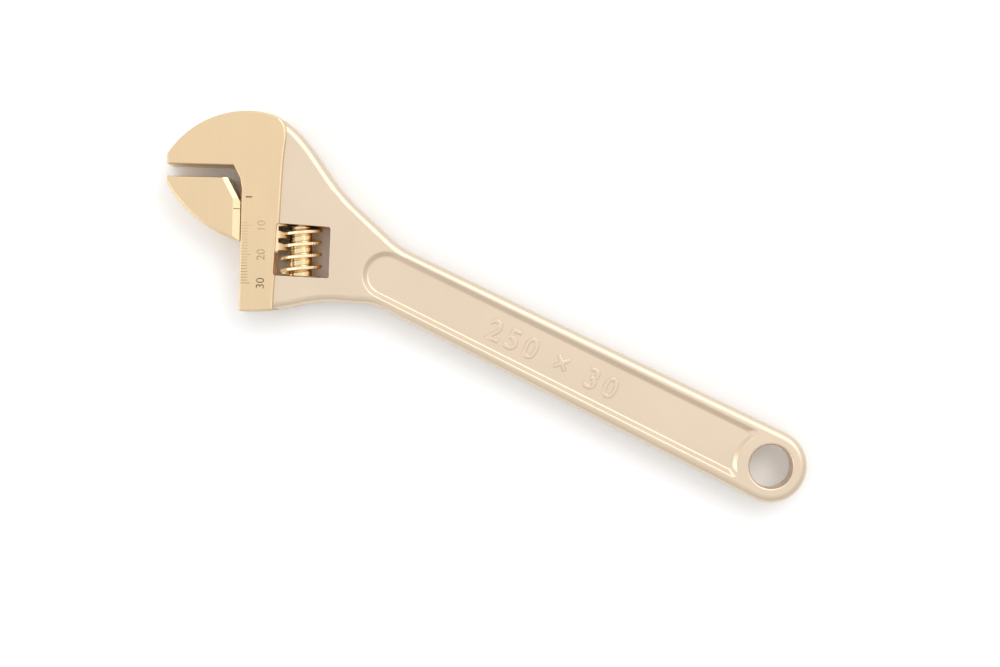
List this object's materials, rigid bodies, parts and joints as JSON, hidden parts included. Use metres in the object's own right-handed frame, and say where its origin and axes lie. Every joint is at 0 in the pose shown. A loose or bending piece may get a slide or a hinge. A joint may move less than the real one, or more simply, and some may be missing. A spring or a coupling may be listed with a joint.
{
  "type": "adjustable wrench",
  "caption": "Adjustable wrench with an angled head: a worm screw slides a toothed movable jaw along the head's column, and the flat panelled handle ends in a hanging hole.",
  "frame": {"origin": "centre of the hanging hole, at mid thickness", "axes": "+X along the handle to the head, +Z out of the upper flat face, +Y to the side that the movable jaw opens towards"},
  "size_m": [0.25, 0.0666, 0.015],
  "materials": {
    "body": "satin forging with finely ground head",
    "movable_jaw": "finely ground",
    "worm": "polished",
    "worm_pin": "turned",
    "worm_spring": "drawn wire"
  },
  "bodies": {
    "frame": {"body": "body", "worm_pin": "worm_pin", "worm_spring": "worm_spring"},
    "jaw": {"movable_jaw": "movable_jaw"},
    "knurl": {"worm": "worm"}
  },
  "joints": [
    {"name": "worm_spin", "type": "hinge", "parent": "frame", "child": "knurl", "pos_m": [0.18086, 0.00581, 0], "axis": [0.4226, -0.9063, 0], "range_deg": [-355.8, 2211.5]},
    {"name": "jaw_slide", "type": "slide", "parent": "frame", "child": "jaw", "axis": [-0.4226, 0.9063, 0], "range_m": [-0.00415, 0.0258]}
  ],
  "couplings": [
    {"joint": "worm_spin", "follows": "jaw_slide", "rad_per_m": 1496}
  ]
}
